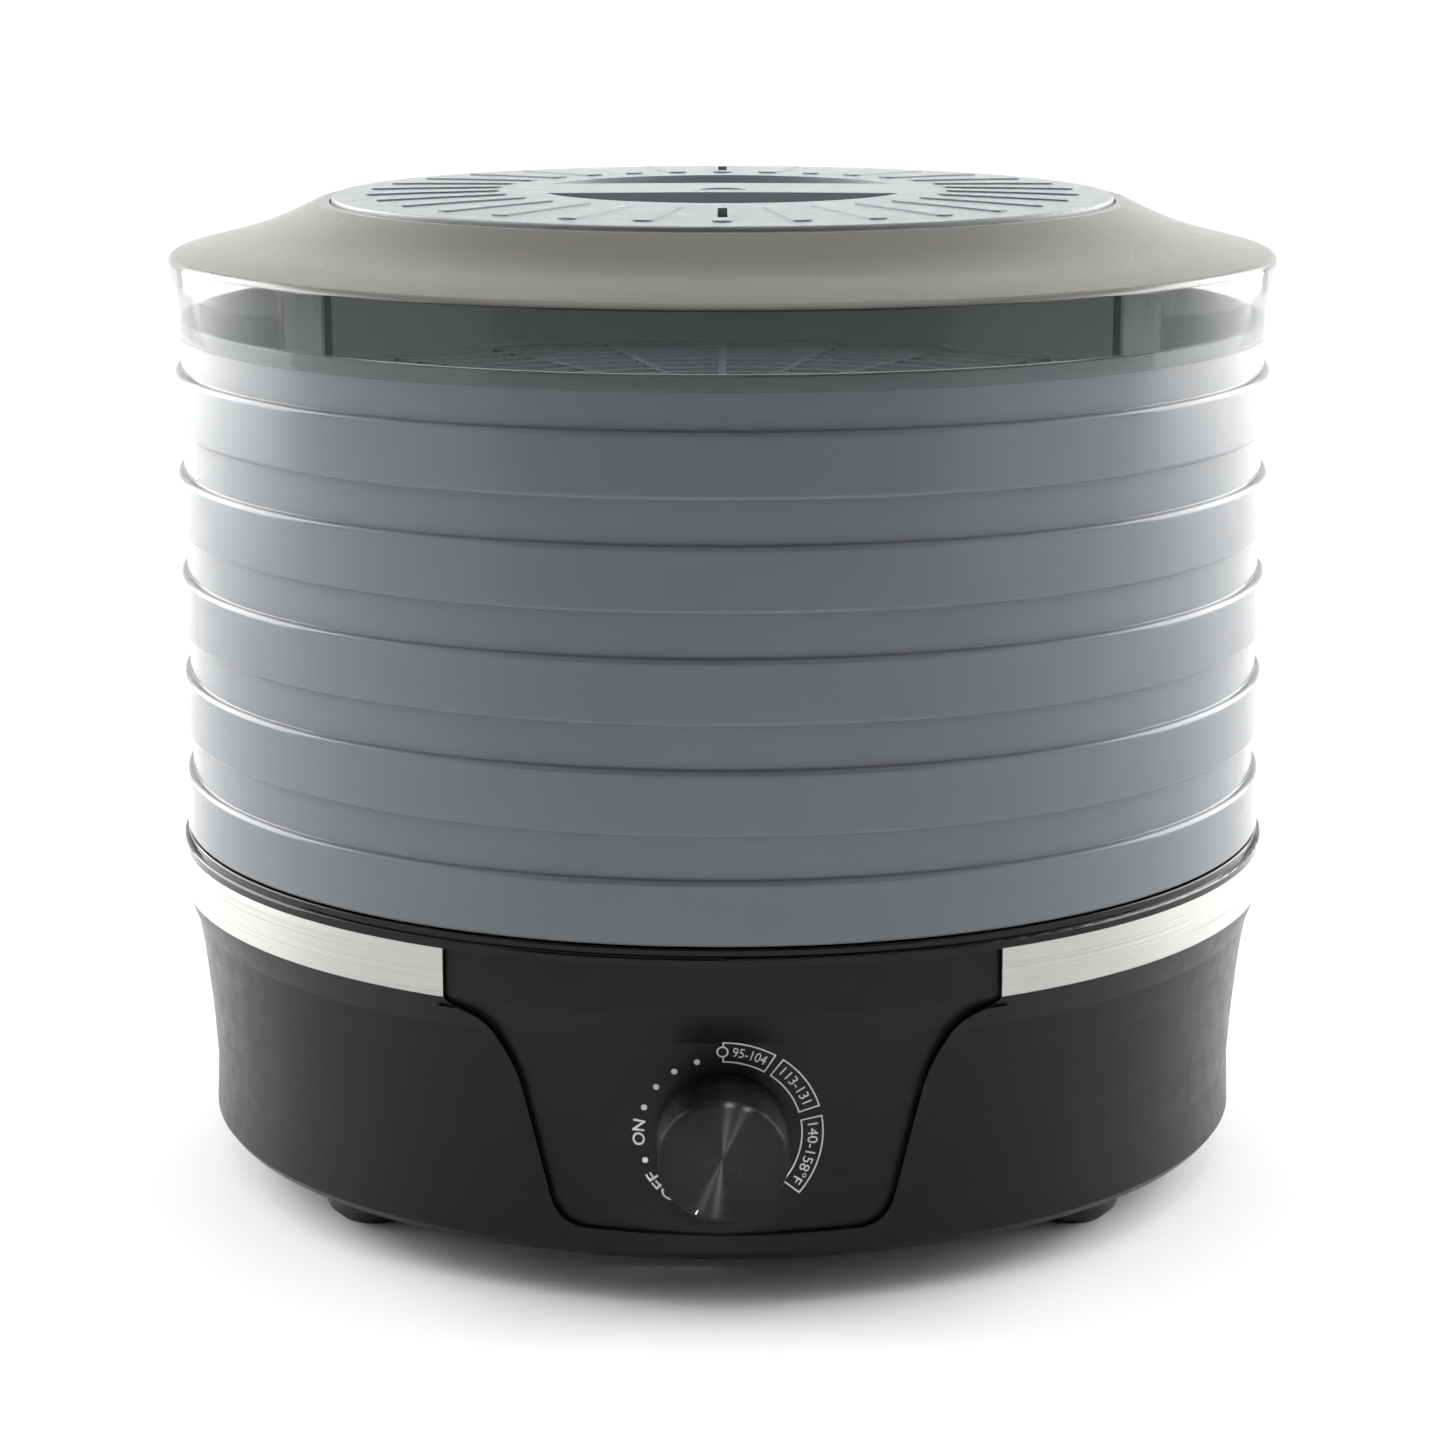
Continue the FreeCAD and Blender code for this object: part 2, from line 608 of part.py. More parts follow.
def build_knob():
    """Hollow cap with a rounded rim and a D-bored hub, and the spring clip round that hub."""
    hub_back = CONTROL_FLAT_START + 0.2
    cap = revolved([
        (0, KNOB_BACK),
        (KNOB_RADIUS, KNOB_BACK, 0.6),
        (KNOB_RADIUS - 0.5, KNOB_FACE, 1.6),
        (0, KNOB_FACE),
    ])
    hollow = ring(KNOB_HUB_RADIUS, KNOB_RADIUS - KNOB_WALL, KNOB_BACK - 1, KNOB_FACE - 2.2)
    hollow = hollow.fuse(cylinder(KNOB_HUB_RADIUS, KNOB_BACK - 1, hub_back))
    bore = cylinder(CONTROL_SHAFT_RADIUS + 0.02, hub_back - 1, KNOB_FACE - 2.8)
    bore = bore.cut(box(CONTROL_SHAFT_FLAT + 0.02, 5, -5, 5, hub_back, KNOB_FACE))
    export("knob_cap", placed_control(cap.cut([hollow, bore])))
    clip_inner = KNOB_HUB_RADIUS + 0.1
    clip = ring(clip_inner, clip_inner + 0.6, hub_back + 1, hub_back + 5)
    clip = clip.cut(box(4, 8, -1.5, 1.5, hub_back, hub_back + 6))
    export("knob_clip", placed_control(clip))


# Fan, motor and heater ------------------------------------------------------------------------------


def build_duct():
    """Sheet-metal air duct and the strap across it that carries the motor."""
    export("air_duct", ring(DUCT_INNER, DUCT_OUTER, BASE_FLOOR_Z + 0.2, 79))
    strap = box(-6, 6, -47.8, 47.8, 16.8, 18.0)
    strap = strap.fuse([box(-6, 6, -47.8, -46.6, 18, 28), box(-6, 6, 46.6, 47.8, 18, 28)])
    holes = [cylinder(1.7, 16, 19, 0, side * MOTOR_SCREW_Y) for side in (-1, 1)]
    export("motor_strap", strap.cut(holes + [cylinder(5, 16, 19)]))


def build_motor():
    """Shaded-pole motor: stator, coil, bearing brackets, bushes, screws and nuts."""
    stator = box(-20, 32, -20, 20, STATOR_BOTTOM, STATOR_TOP)
    window = box(16, 25, -12, 12, STATOR_BOTTOM, STATOR_TOP)
    screw_holes = [cylinder(1.7, 10, 60, 0, side * MOTOR_SCREW_Y) for side in (-1, 1)]
    rotor_bore = cylinder(ROTOR_RADIUS + 0.3, STATOR_BOTTOM, STATOR_TOP)
    export("motor_stator", stator.cut([rotor_bore, window] + screw_holes))
    coil = box(17, 40, -11.5, 11.5, STATOR_BOTTOM - 7, STATOR_TOP + 7)
    export("motor_coil", coil.cut(box(25, 32, -12, 12, STATOR_BOTTOM, STATOR_TOP)))
    bridges = {"lower": (STATOR_BOTTOM - 8, STATOR_BOTTOM), "upper": (STATOR_TOP + 5, STATOR_TOP)}
    for side, (low, face) in bridges.items():
        high = low + 3
        leg_low, leg_high = (high, face) if face > high else (face, low)
        legs = [box(-6, 6, start, start + 6, leg_low, leg_high) for start in (-19, 13)]
        bracket = box(-6, 6, -19, 19, low, high).fuse(legs)
        export(f"bearing_bracket_{side}", bracket.cut(screw_holes + [cylinder(3.6, low - 1, high + 1)]))
        export(f"bearing_bush_{side}", ring(SHAFT_RADIUS + RUNNING_GAP, 3.55, low, high))
    screws = []
    nuts = []
    for side in (-1, 1):
        y = side * MOTOR_SCREW_Y
        screws.append(cylinder(2.8, 14.6, 16.7, 0, y).fuse(cylinder(1.5, 16.7, 52, 0, y)))
        nuts.append(ring(1.55, 3.0, STATOR_TOP + 8.1, STATOR_TOP + 10.5, 0, y))
    export("motor_screws", Part.makeCompound(screws))
    export("motor_nuts", Part.makeCompound(nuts))


def build_fan():
    """Rotor, shaft and axial impeller that spin together."""
    export("motor_rotor", ring(SHAFT_RADIUS + 0.02, ROTOR_RADIUS, STATOR_BOTTOM + 0.5, STATOR_TOP - 0.5))
    export("motor_shaft", cylinder(SHAFT_RADIUS, 17.0, 66.0))
    hub = ring(SHAFT_RADIUS + 0.02, FAN_HUB_RADIUS, FAN_Z - 4.5, FAN_Z + 4.5)
    blade = box(7, FAN_RADIUS, -BLADE_HALF_CHORD, BLADE_HALF_CHORD, -0.7, 0.7)
    blade.rotate(vec(0, 0, 0), vec(1, 0, 0), BLADE_PITCH)
    blade.translate(vec(0, 0, FAN_Z))
    blade = blade.common(ring(7, FAN_RADIUS, 50, 67))
    blades = repeated(blade, [index * 360 / FAN_BLADES for index in range(FAN_BLADES)])
    export("fan_impeller", hub.fuse(blades).removeSplitter())
    export("fan_clip", ring(SHAFT_RADIUS + 0.02, 5, FAN_Z + 4.6, FAN_Z + 5.6))


def build_heater():
    """Crossed mica boards that hold three rings of heating wire, and the thermal fuse outside the duct."""
    board = box(-BOARD_HALF_LENGTH, BOARD_HALF_LENGTH, -0.5, 0.5, BOARD_BOTTOM, BOARD_TOP)
    export("heater_board", board.fuse(turned(board, 90)))
    rings = [Part.makeTorus(radius, 1.1, vec(0, 0, BOARD_TOP + 1.3)) for radius in HEATER_RADII]
    export("heater_wire", Part.makeCompound(rings))
    export("thermal_fuse", cylinder_y(2, -7, 7, FUSE_X, FUSE_Z))


def cable(points, radius):
    """Round insulated wire along straight runs joined by tangent arcs."""
    corners = []
    for index, point in enumerate(points):
        bend = 0
        if 0 < index < len(points) - 1:
            back = points[index - 1] - point
            ahead = points[index + 1] - point
            turn = math.pi - back.getAngle(ahead)
            bend = 0.45 * min(back.Length, ahead.Length) / math.tan(turn / 2)
        corners.append((point, bend))
    path = rounded_path(corners, closed=False)
    start = (points[1] - points[0]).normalize()
    profile = Part.Wire(Part.makeCircle(radius, points[0], start))
    return path.makePipeShell([profile], True, False)


def build_wiring():
    """Terminal block on the floor, and the insulated leads that start from it."""
    block = box(-12, 12, TERMINAL_Y - 6, TERMINAL_Y + 6, BASE_FLOOR_Z + SHELL, 20)
    clamps = [cylinder(2, 15, 20, x, TERMINAL_Y) for x in (-8, 0, 8)]
    export("terminal_block", block.cut(clamps))
    thermostat_lead = [vec(-12.6, TERMINAL_Y, 15), vec(-45, 90, 15), vec(-78, 60, 15), vec(-92, 10, 15)]
    thermostat_lead += [vec(-82, -40, 18), vec(-50, -78, 28), vec(-10, -101, 43)]
    export("lead_thermostat", cable(thermostat_lead, LEAD_RADIUS))
    heater_lead = [vec(12.6, TERMINAL_Y, 15), vec(36, 92, 17), vec(58, 72, 28), vec(66, 46, 46)]
    heater_lead += [vec(58, 24, 61), vec(FUSE_X, 8.2, FUSE_Z)]
    export("lead_heater", cable(heater_lead, LEAD_RADIUS))


def main():
    os.makedirs("parts", exist_ok=True)
    build_trays()
    build_lid()
    build_vent_dial()
    build_housing()
    build_trim_band()
    build_deck()
    build_case_screws()
    build_outlet_grille()
    build_bottom_cover()
    build_feet()
    build_gland()
    build_panel()
    build_thermostat()
    build_knob()
    build_duct()
    build_motor()
    build_fan()
    build_heater()
    build_wiring()


main()
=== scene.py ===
"""Food dehydrator: surfaces, lid, dial print, light and camera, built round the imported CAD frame."""

import json
import math

import bpy
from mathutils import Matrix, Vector
from mathutils.bvhtree import BVHTree


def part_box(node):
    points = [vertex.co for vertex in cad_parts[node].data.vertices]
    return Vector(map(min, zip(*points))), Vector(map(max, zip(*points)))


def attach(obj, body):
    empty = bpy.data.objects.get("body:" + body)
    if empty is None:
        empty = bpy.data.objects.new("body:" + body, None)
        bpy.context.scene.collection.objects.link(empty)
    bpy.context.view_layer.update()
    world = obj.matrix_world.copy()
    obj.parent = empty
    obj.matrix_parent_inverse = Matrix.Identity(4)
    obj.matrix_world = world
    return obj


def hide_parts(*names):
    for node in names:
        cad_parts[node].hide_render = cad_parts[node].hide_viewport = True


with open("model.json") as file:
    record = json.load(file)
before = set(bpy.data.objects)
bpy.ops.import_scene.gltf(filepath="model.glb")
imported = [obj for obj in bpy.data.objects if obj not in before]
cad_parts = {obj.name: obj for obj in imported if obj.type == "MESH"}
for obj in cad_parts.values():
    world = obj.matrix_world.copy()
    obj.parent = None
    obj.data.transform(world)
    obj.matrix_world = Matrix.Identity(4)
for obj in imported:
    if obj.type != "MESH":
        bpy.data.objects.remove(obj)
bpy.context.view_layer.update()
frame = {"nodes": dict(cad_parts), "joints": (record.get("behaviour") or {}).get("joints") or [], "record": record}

MM = 0.001
TURN = 2 * math.pi
nodes = frame["nodes"]
joints = {joint["name"]: joint for joint in frame["joints"]}


# Materials --------------------------------------------------------------------------------------


class Paint:
    """A Principled material whose colour, roughness and bump come from noise over the object."""

    def __init__(self, name, stretch=(1, 1, 1)):
        self.material = bpy.data.materials.new(name)
        self.material.use_nodes = True
        self.tree = self.material.node_tree
        self.shader = self.tree.nodes["Principled BSDF"]
        place = self.add("ShaderNodeTexCoord")
        self.mapping = self.add("ShaderNodeMapping")
        self.mapping.inputs["Scale"].default_value = stretch
        self.join(place.outputs["Object"], self.mapping.inputs["Vector"])

    def add(self, kind, **settings):
        node = self.tree.nodes.new(kind)
        for name, value in settings.items():
            setattr(node, name, value)
        return node

    def join(self, source, target):
        self.tree.links.new(source, target)

    def noise(self, scale, detail=3.0, rough=0.55):
        node = self.add("ShaderNodeTexNoise")
        node.inputs["Scale"].default_value = scale
        node.inputs["Detail"].default_value = detail
        node.inputs["Roughness"].default_value = rough
        self.join(self.mapping.outputs["Vector"], node.inputs["Vector"])
        return node.outputs["Fac"]

    def spread(self, source, low, high, start=0.3, end=0.7):
        node = self.add("ShaderNodeMapRange")
        node.inputs["From Min"].default_value = start
        node.inputs["From Max"].default_value = end
        node.inputs["To Min"].default_value = low
        node.inputs["To Max"].default_value = high
        self.join(source, node.inputs["Value"])
        return node.outputs["Result"]

    def mixed(self, factor, first, second):
        node = self.add("ShaderNodeMix", data_type="RGBA")
        for socket, value in ((node.inputs[6], first), (node.inputs[7], second)):
            if isinstance(value, bpy.types.NodeSocket):
                self.join(value, socket)
            else:
                socket.default_value = (*value, 1)
        self.join(factor, node.inputs["Factor"])
        return node.outputs[2]

    def worn_edges(self, radius, low=0.02, high=0.25):
        """0 on flat faces, up to 1 where the surface turns sharply within the radius."""
        bevel = self.add("ShaderNodeBevel", samples=4)
        bevel.inputs["Radius"].default_value = radius
        geometry = self.add("ShaderNodeNewGeometry")
        dot = self.add("ShaderNodeVectorMath", operation="DOT_PRODUCT")
        self.join(bevel.outputs["Normal"], dot.inputs[0])
        self.join(geometry.outputs["Normal"], dot.inputs[1])
        return self.spread(dot.outputs["Value"], 1.0, 0.0, 1 - high, 1 - low)

    def bump(self, height, strength, depth):
        node = self.add("ShaderNodeBump")
        node.inputs["Strength"].default_value = strength
        node.inputs["Distance"].default_value = depth
        self.join(height, node.inputs["Height"])
        self.join(node.outputs["Normal"], self.shader.inputs["Normal"])
        return node

    def set(self, **values):
        for name, value in values.items():
            self.shader.inputs[name.replace("_", " ").title().replace("Ior", "IOR")].default_value = value


def lighter(colour, share):
    return tuple(min(1.0, channel * (1 + share)) for channel in colour)


def coated(name, colour, rough, grain, *, mottle=0.06, uneven=0.05, depth=0.02 * MM, strength=0.2,
           stretch=(1, 1, 1), wear=0.0, metallic=0.0, ior=1.5, specular=0.5):
    """A moulded, cast or drawn surface: broad colour drift, uneven roughness and a fine grain."""
    paint = Paint(name, stretch)
    drift = paint.noise(14.0)
    fine = paint.noise(grain, 2.0)
    base = paint.mixed(drift, lighter(colour, -mottle), lighter(colour, mottle))
    roughness = paint.spread(paint.noise(grain * 0.12, 4.0), rough - uneven, rough + uneven)
    if wear:
        edge = paint.worn_edges(0.7 * MM)
        scuffed = paint.add("ShaderNodeMath", operation="MULTIPLY")
        paint.join(edge, scuffed.inputs[0])
        paint.join(paint.spread(paint.noise(160.0, 5.0), 0.0, wear), scuffed.inputs[1])
        base = paint.mixed(scuffed.outputs[0], base, lighter(colour, 1.6))
    paint.join(base, paint.shader.inputs["Base Color"])
    paint.join(roughness, paint.shader.inputs["Roughness"])
    paint.bump(fine, strength, depth)
    paint.set(metallic=metallic, ior=ior)
    paint.shader.inputs["Specular IOR Level"].default_value = specular
    return paint


def make_tray_grey():
    """Glossy grey styrene that lets a little light through, with faint flow lines from moulding."""
    paint = coated("tray_grey", (0.138, 0.148, 0.158), 0.20, 420.0, uneven=0.02, depth=0.008 * MM,
                   strength=0.15, specular=0.40)
    paint.join(paint.spread(paint.noise(20.0, 3.0), 0.95, 0.98), paint.shader.inputs["Alpha"])
    return paint.material


def make_turned_black():
    """Gloss black knob whose face carries fine turned rings round the control axis."""
    paint = Paint("knob_black")
    axis = joints["knob_turn"]
    paint.mapping.vector_type = "TEXTURE"
    paint.mapping.inputs["Location"].default_value = axis["pos_m"]
    tilt = math.atan2(axis["axis"][2], axis["axis"][1])
    paint.mapping.inputs["Rotation"].default_value = (tilt, 0, 0)
    flat = paint.add("ShaderNodeVectorMath", operation="MULTIPLY")
    flat.inputs[1].default_value = (1, 0, 1)
    paint.join(paint.mapping.outputs["Vector"], flat.inputs[0])
    radius = paint.add("ShaderNodeVectorMath", operation="LENGTH")
    paint.join(flat.outputs["Vector"], radius.inputs[0])
    rings = paint.add("ShaderNodeTexNoise", noise_dimensions="1D")
    rings.inputs["Scale"].default_value = 5200.0
    rings.inputs["Detail"].default_value = 3.0
    paint.join(radius.outputs["Value"], rings.inputs["W"])
    dust = paint.noise(900.0, 3.0)
    black = paint.mixed(dust, (0.0025, 0.0025, 0.003), (0.004, 0.004, 0.0045))
    paint.join(black, paint.shader.inputs["Base Color"])
    paint.join(paint.spread(rings.outputs["Fac"], 0.26, 0.36), paint.shader.inputs["Roughness"])
    paint.bump(rings.outputs["Fac"], 0.12, 0.006 * MM)
    tangent = paint.add("ShaderNodeTangent", direction_type="RADIAL", axis="Y")
    paint.join(tangent.outputs["Tangent"], paint.shader.inputs["Tangent"])
    paint.set(anisotropic=1.0, anisotropic_rotation=0.25, ior=1.5)
    paint.shader.inputs["Specular IOR Level"].default_value = 0.2
    return paint.material


def make_brushed_band():
    """Stainless steel brushed round the band: long streaks along it, fine lines across it."""
    paint = Paint("trim_steel", (2.0, 2.0, 900.0))
    lines = paint.noise(3.0, 6.0, 0.7)
    broad = paint.noise(0.8, 2.0)
    base = paint.mixed(lines, (0.29, 0.288, 0.277), (0.50, 0.496, 0.477))
    paint.join(base, paint.shader.inputs["Base Color"])
    paint.join(paint.spread(lines, 0.24, 0.40), paint.shader.inputs["Roughness"])
    paint.bump(broad, 0.12, 0.004 * MM)
    tangent = paint.add("ShaderNodeTangent", direction_type="RADIAL", axis="Z")
    paint.join(tangent.outputs["Tangent"], paint.shader.inputs["Tangent"])
    paint.set(metallic=1.0, anisotropic=0.6, anisotropic_rotation=0.25)
    return paint.material


def make_lid_frost():
    """Smoke grey moulding with a fine etched texture."""
    return coated("lid_frost", (0.120, 0.112, 0.094), 0.24, 2600.0, mottle=0.02, uneven=0.015,
                  depth=0.003 * MM, strength=0.1).material


def clear_plastic(name, dark, light, face_on, edge_on):
    """Polished clear plastic: faint handling haze, and denser where it is looked through edgeways."""
    paint = Paint(name)
    haze = paint.noise(60.0, 4.0)
    paint.join(paint.mixed(haze, dark, light), paint.shader.inputs["Base Color"])
    paint.join(paint.spread(haze, 0.03, 0.09), paint.shader.inputs["Roughness"])
    facing = paint.add("ShaderNodeLayerWeight")
    facing.inputs["Blend"].default_value = 0.5
    density = paint.spread(facing.outputs["Facing"], face_on, edge_on, 0.45, 1.0)
    uneven = paint.add("ShaderNodeMath", operation="MULTIPLY")
    paint.join(density, uneven.inputs[0])
    paint.join(paint.spread(haze, 0.94, 1.06), uneven.inputs[1])
    paint.join(uneven.outputs[0], paint.shader.inputs["Alpha"])
    paint.bump(paint.noise(90.0, 2.0), 0.05, 0.01 * MM)
    paint.set(ior=1.49)
    paint.shader.inputs["Specular IOR Level"].default_value = 0.45
    return paint.material


def make_print():
    """Light grey screen print, slightly uneven in ink."""
    return coated("dial_print", (0.60, 0.59, 0.64), 0.5, 1800.0, mottle=0.08).material


SURFACES = {
    "housing_black": dict(colour=(0.0045, 0.005, 0.0038), rough=0.34, grain=1500.0, strength=0.25, wear=0.3,
                          specular=0.18),
    "deck_black": dict(colour=(0.003, 0.0035, 0.0025), rough=0.12, grain=500.0, depth=0.006 * MM, wear=0.2,
                       specular=0.2),
    "panel_black": dict(colour=(0.0065, 0.007, 0.0055), rough=0.38, grain=1700.0, strength=0.2, wear=0.2,
                        specular=0.18),
    "foot_rubber": dict(colour=(0.016, 0.016, 0.015), rough=0.62, grain=700.0, strength=0.5, wear=0.3),
    "gland_black": dict(colour=(0.015, 0.015, 0.015), rough=0.5, grain=900.0, wear=0.25),
    "vent_grey": dict(colour=(0.27, 0.285, 0.294), rough=0.36, grain=1300.0, strength=0.25, wear=0.15),
    "grille_metal": dict(colour=(0.60, 0.60, 0.61), rough=0.34, grain=1000.0, metallic=1.0, wear=0.3),
    "sheet_metal": dict(colour=(0.66, 0.66, 0.67), rough=0.30, grain=700.0, metallic=1.0, stretch=(1, 1, 12)),
    "lamination_steel": dict(colour=(0.33, 0.33, 0.34), rough=0.42, grain=220.0, metallic=1.0,
                             stretch=(1, 1, 30)),
    "coil_copper": dict(colour=(0.52, 0.20, 0.09), rough=0.28, grain=240.0, metallic=1.0, stretch=(1, 1, 25)),
    "bracket_zinc": dict(colour=(0.52, 0.52, 0.54), rough=0.46, grain=800.0, metallic=1.0, strength=0.4),
    "bush_bronze": dict(colour=(0.56, 0.40, 0.18), rough=0.36, grain=1400.0, metallic=1.0),
    "fastener_steel": dict(colour=(0.58, 0.58, 0.60), rough=0.26, grain=900.0, metallic=1.0, wear=0.4),
    "mica_board": dict(colour=(0.50, 0.42, 0.28), rough=0.45, grain=260.0, mottle=0.2),
    "heater_alloy": dict(colour=(0.36, 0.34, 0.32), rough=0.44, grain=900.0, metallic=1.0, mottle=0.2),
    "fuse_metal": dict(colour=(0.62, 0.60, 0.55), rough=0.30, grain=700.0, metallic=1.0),
    "thermostat_phenolic": dict(colour=(0.075, 0.045, 0.03), rough=0.42, grain=500.0, mottle=0.2),
    "terminal_nylon": dict(colour=(0.72, 0.71, 0.66), rough=0.44, grain=800.0),
    "lead_insulation": dict(colour=(0.70, 0.67, 0.60), rough=0.5, grain=1200.0, strength=0.4),
    "fan_nylon": dict(colour=(0.035, 0.035, 0.038), rough=0.40, grain=900.0, wear=0.2),
}

made = {slot: coated(slot, **settings).material for slot, settings in SURFACES.items()}
made["tray_grey"] = make_tray_grey()
made["knob_black"] = make_turned_black()
made["trim_steel"] = make_brushed_band()
lid_frost = make_lid_frost()
lid_clear = clear_plastic("lid_clear", (0.07, 0.088, 0.078), (0.11, 0.128, 0.118), 0.12, 0.60)
tab_clear = clear_plastic("tab_clear", (0.34, 0.36, 0.35), (0.42, 0.44, 0.43), 0.12, 0.45)
# Painted shade: a near-black, nearly opaque plastic used for the shadow line under the cone's edge and for the
# dark strips at the tab edges.
painted_shade_edge = clear_plastic("painted_shade_edge", (0.012, 0.013, 0.012), (0.02, 0.021, 0.02), 0.80, 0.95)
made["lid_smoke"] = lid_frost
print_ink = make_print()

for subpart in frame["record"]["subparts"]:
    surface = made[subpart["material_slot"]]
    for material_slot in nodes[subpart["node"]].material_slots:
        material_slot.material = surface


# Mesh helpers -----------------------------------------------------------------------------------


def new_piece(name, points, faces, materials, body, face_materials=None, smooth=True):
    mesh = bpy.data.meshes.new(name)
    mesh.from_pydata(points, [], faces)
    for material in materials:
        mesh.materials.append(material)
    if face_materials:
        mesh.polygons.foreach_set("material_index", face_materials)
    mesh.polygons.foreach_set("use_smooth", [smooth] * len(mesh.polygons))
    mesh.update()
    piece = bpy.data.objects.new(name, mesh)
    bpy.context.scene.collection.objects.link(piece)
    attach(piece, body)
    return piece


def rounded(corners, steps=10):
    """Closed (radius, height) outline with each (radius, height, fillet) corner turned by an arc."""
    outline = []
    count = len(corners)
    for index, corner in enumerate(corners):
        point = Vector(corner[:2])
        fillet = corner[2] if len(corner) > 2 else 0
        if not fillet:
            outline.append(tuple(point))
            continue
        back = (Vector(corners[index - 1][:2]) - point).normalized()
        ahead = (Vector(corners[(index + 1) % count][:2]) - point).normalized()
        half = back.angle(ahead) / 2
        centre = point + (back + ahead).normalized() * (fillet / math.sin(half))
        start = point + back * (fillet / math.tan(half)) - centre
        sweep = start.angle_signed(point + ahead * (fillet / math.tan(half)) - centre)
        for step in range(steps + 1):
            angle = -sweep * step / steps
            turned = Vector((start.x * math.cos(angle) - start.y * math.sin(angle),
                             start.x * math.sin(angle) + start.y * math.cos(angle)))
            outline.append(tuple(centre + turned))
    return outline


def lathe(name, outline, materials, body, choose, segments=256):
    """Turns a closed outline round Z. choose(radius, height) gives each face's material index."""
    count = len(outline)
    points = []
    for segment in range(segments):
        angle = TURN * segment / segments
        points += [(r * MM * math.cos(angle), r * MM * math.sin(angle), z * MM) for r, z in outline]
    faces = []
    indices = []
    for segment in range(segments):
        here = segment * count
        there = (segment + 1) % segments * count
        for index in range(count):
            after = (index + 1) % count
            faces.append((here + index, there + index, there + after, here + after))
            radius = (outline[index][0] + outline[after][0]) / 2
            height = (outline[index][1] + outline[after][1]) / 2
            indices.append(choose(radius, height))
    return new_piece(name, points, faces, materials, body, indices)


def thickened(name, points, faces, outward, thickness, materials, body):
    """Closed solid from a flat patch: the patch, its copy moved outward, and walls at the rim."""
    count = len(points)
    raised = [tuple(Vector(point) + outward * thickness) for point in points]
    edges = {}
    for face in faces:
        for first, second in zip(face, face[1:] + face[:1]):
            edges[(first, second)] = True
    walls = [(first, second, second + count, first + count)
             for first, second in edges if (second, first) not in edges]
    solid = [tuple(reversed(face)) for face in faces]
    solid += [tuple(index + count for index in face) for face in faces] + walls
    return new_piece(name, list(points) + raised, solid, materials, body, smooth=False)


# Lid --------------------------------------------------------------------------------------------

low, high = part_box("lid_shell")
LID_BOTTOM = low.z / MM
LID_RADIUS = high.x / MM
RIM_Z = high.z / MM
SKIRT_WALL = 2.5
SKIRT_TOP = 242.4
SKIRT_INNER_TOP = 241.8
# Height of the painted shadow line at the top of the skirt's outside, just under the cone's edge.
PAINTED_SHADOW_BAND = 0.7
CONE_FOOT = 140
CONE_BEND = 121.5
SHOULDER_Z = 243.06
RIM_INNER = 103.4
RIM_OUTER = 106.9
SEAT_OUTER = 109.0
SEAT_TOP = 255.0
SEAT_BOTTOM = 253.2
HUB_HOLE = 50.4
TAB_WIDTH = 6.8
TAB_BOTTOM = 227.3
TAB_TOP = 242.0
TAB_DEPTH = 2.2
TAB_OVERLAP = 0.2
TAB_COUNT = 4
# Half widths, in degrees, of the painted shade strips at each tab's two edges.
WIDE_SHADE_HALF = 0.22
THIN_SHADE_HALF = 0.06
PIN_OFFSET = 1.5
PIN_HALF = 0.25
PIN_BOTTOM = 235.5


def make_lid():
    """Frosted cone and clear skirt of one moulding, turned as a single closed shell."""
    outline = rounded([
        (RIM_INNER, RIM_Z, 0.3),
        (RIM_OUTER, RIM_Z, 0.8),
        (CONE_BEND, 249.3, 100),
        (LID_RADIUS, SHOULDER_Z, 3.0),
        (LID_RADIUS, LID_BOTTOM, 1.2),
        (LID_RADIUS - SKIRT_WALL, LID_BOTTOM, 0.4),
        (LID_RADIUS - SKIRT_WALL, SKIRT_INNER_TOP, 1.0),
        (CONE_BEND, 247.4, 90),
        (SEAT_OUTER, SEAT_BOTTOM, 1.0),
        (HUB_HOLE, SEAT_BOTTOM),
        (HUB_HOLE, SEAT_TOP),
        (RIM_INNER, SEAT_TOP),
    ])

    frost, clear, dark = range(3)

    def zone(radius, height):
        if radius < CONE_FOOT or height > SKIRT_TOP:
            return frost
        # The near-black band at the top of the skirt's outside is painted shadow under the cone's edge.
        return dark if height > SKIRT_TOP - PAINTED_SHADOW_BAND and radius > LID_RADIUS - 1 else clear

    shell = lathe("lid_moulding", outline, [lid_frost, lid_clear, painted_shade_edge], "lid", zone)
    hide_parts("lid_shell")


def bent_block(name, inner, outer, start, end, bottom, top, material, body, steps=6):
    """Closed block that follows the wall: radii in mm, angles in degrees."""
    ring = []
    for step in range(steps + 1):
        angle = math.radians(start + (end - start) * step / steps)
        for radius in (inner, outer):
            ring.append((radius * MM * math.cos(angle), radius * MM * math.sin(angle)))
    patch = [(x, y, bottom * MM) for x, y in ring]
    faces = [(2 * step, 2 * step + 1, 2 * step + 3, 2 * step + 2) for step in range(steps)]
    return thickened(name, patch, faces, Vector((0, 0, 1)), (top - bottom) * MM, [material], body)


